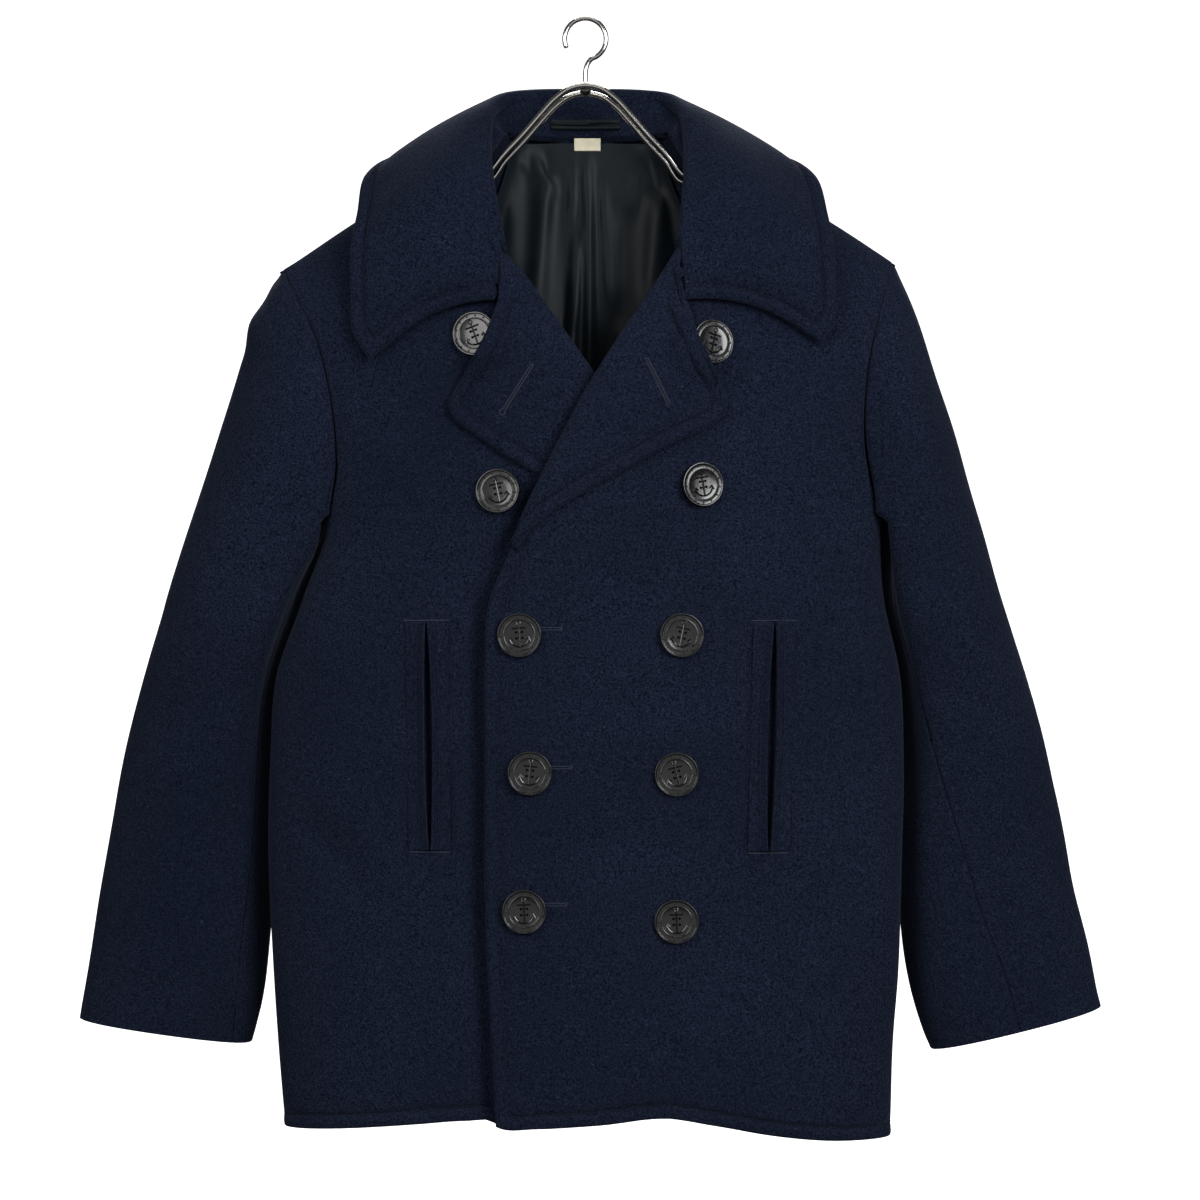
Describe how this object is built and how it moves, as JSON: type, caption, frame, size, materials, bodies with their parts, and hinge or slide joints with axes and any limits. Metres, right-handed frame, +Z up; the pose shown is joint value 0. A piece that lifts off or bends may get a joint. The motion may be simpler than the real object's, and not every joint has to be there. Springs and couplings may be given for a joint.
{
  "type": "double-breasted coat on a hanger",
  "caption": "Double-breasted dark wool pea coat with broad lapels and collar, slit pockets and shiny buttons, hanging open-hemmed on a chrome wire hanger.",
  "frame": {"origin": "inside top of the hanger's hook, where a rail carries it", "axes": "+X to the viewer's right facing the coat's front, +Y from the front to the back, +Z up"},
  "size_m": [0.8435, 0.1563, 0.915],
  "materials": {
    "wool": "thick brushed melton, dark navy",
    "lining_satin": "dark satin",
    "label_tape": "cream woven tape",
    "button_plastic": "glossy black",
    "chrome_wire": "bright",
    "dark_steel": "dark"
  },
  "bodies": {
    "root": {"front_overlap": "wool", "front_underlap": "wool", "lapel_overlap": "wool", "lapel_underlap": "wool", "back_left": "wool", "back_right": "wool", "collar": "wool", "sleeve_left_upper": "wool", "sleeve_left_under": "wool", "sleeve_right_upper": "wool", "sleeve_right_under": "wool", "welt_left_front": "wool", "welt_left_side": "wool", "welt_right_front": "wool", "welt_right_side": "wool", "lining_back": "lining_satin", "hanging_loop": "lining_satin", "size_label": "label_tape", "button_left_1": "button_plastic", "button_left_2": "button_plastic", "button_left_3": "button_plastic", "button_left_4": "button_plastic", "button_left_5": "button_plastic", "button_right_1": "button_plastic", "button_right_2": "button_plastic", "button_right_3": "button_plastic", "button_right_4": "button_plastic", "button_right_5": "button_plastic", "hanger_wire_front": "chrome_wire", "hanger_wire_back": "chrome_wire", "hanger_hook": "chrome_wire", "hanger_nut": "dark_steel"}
  },
  "joints": []
}
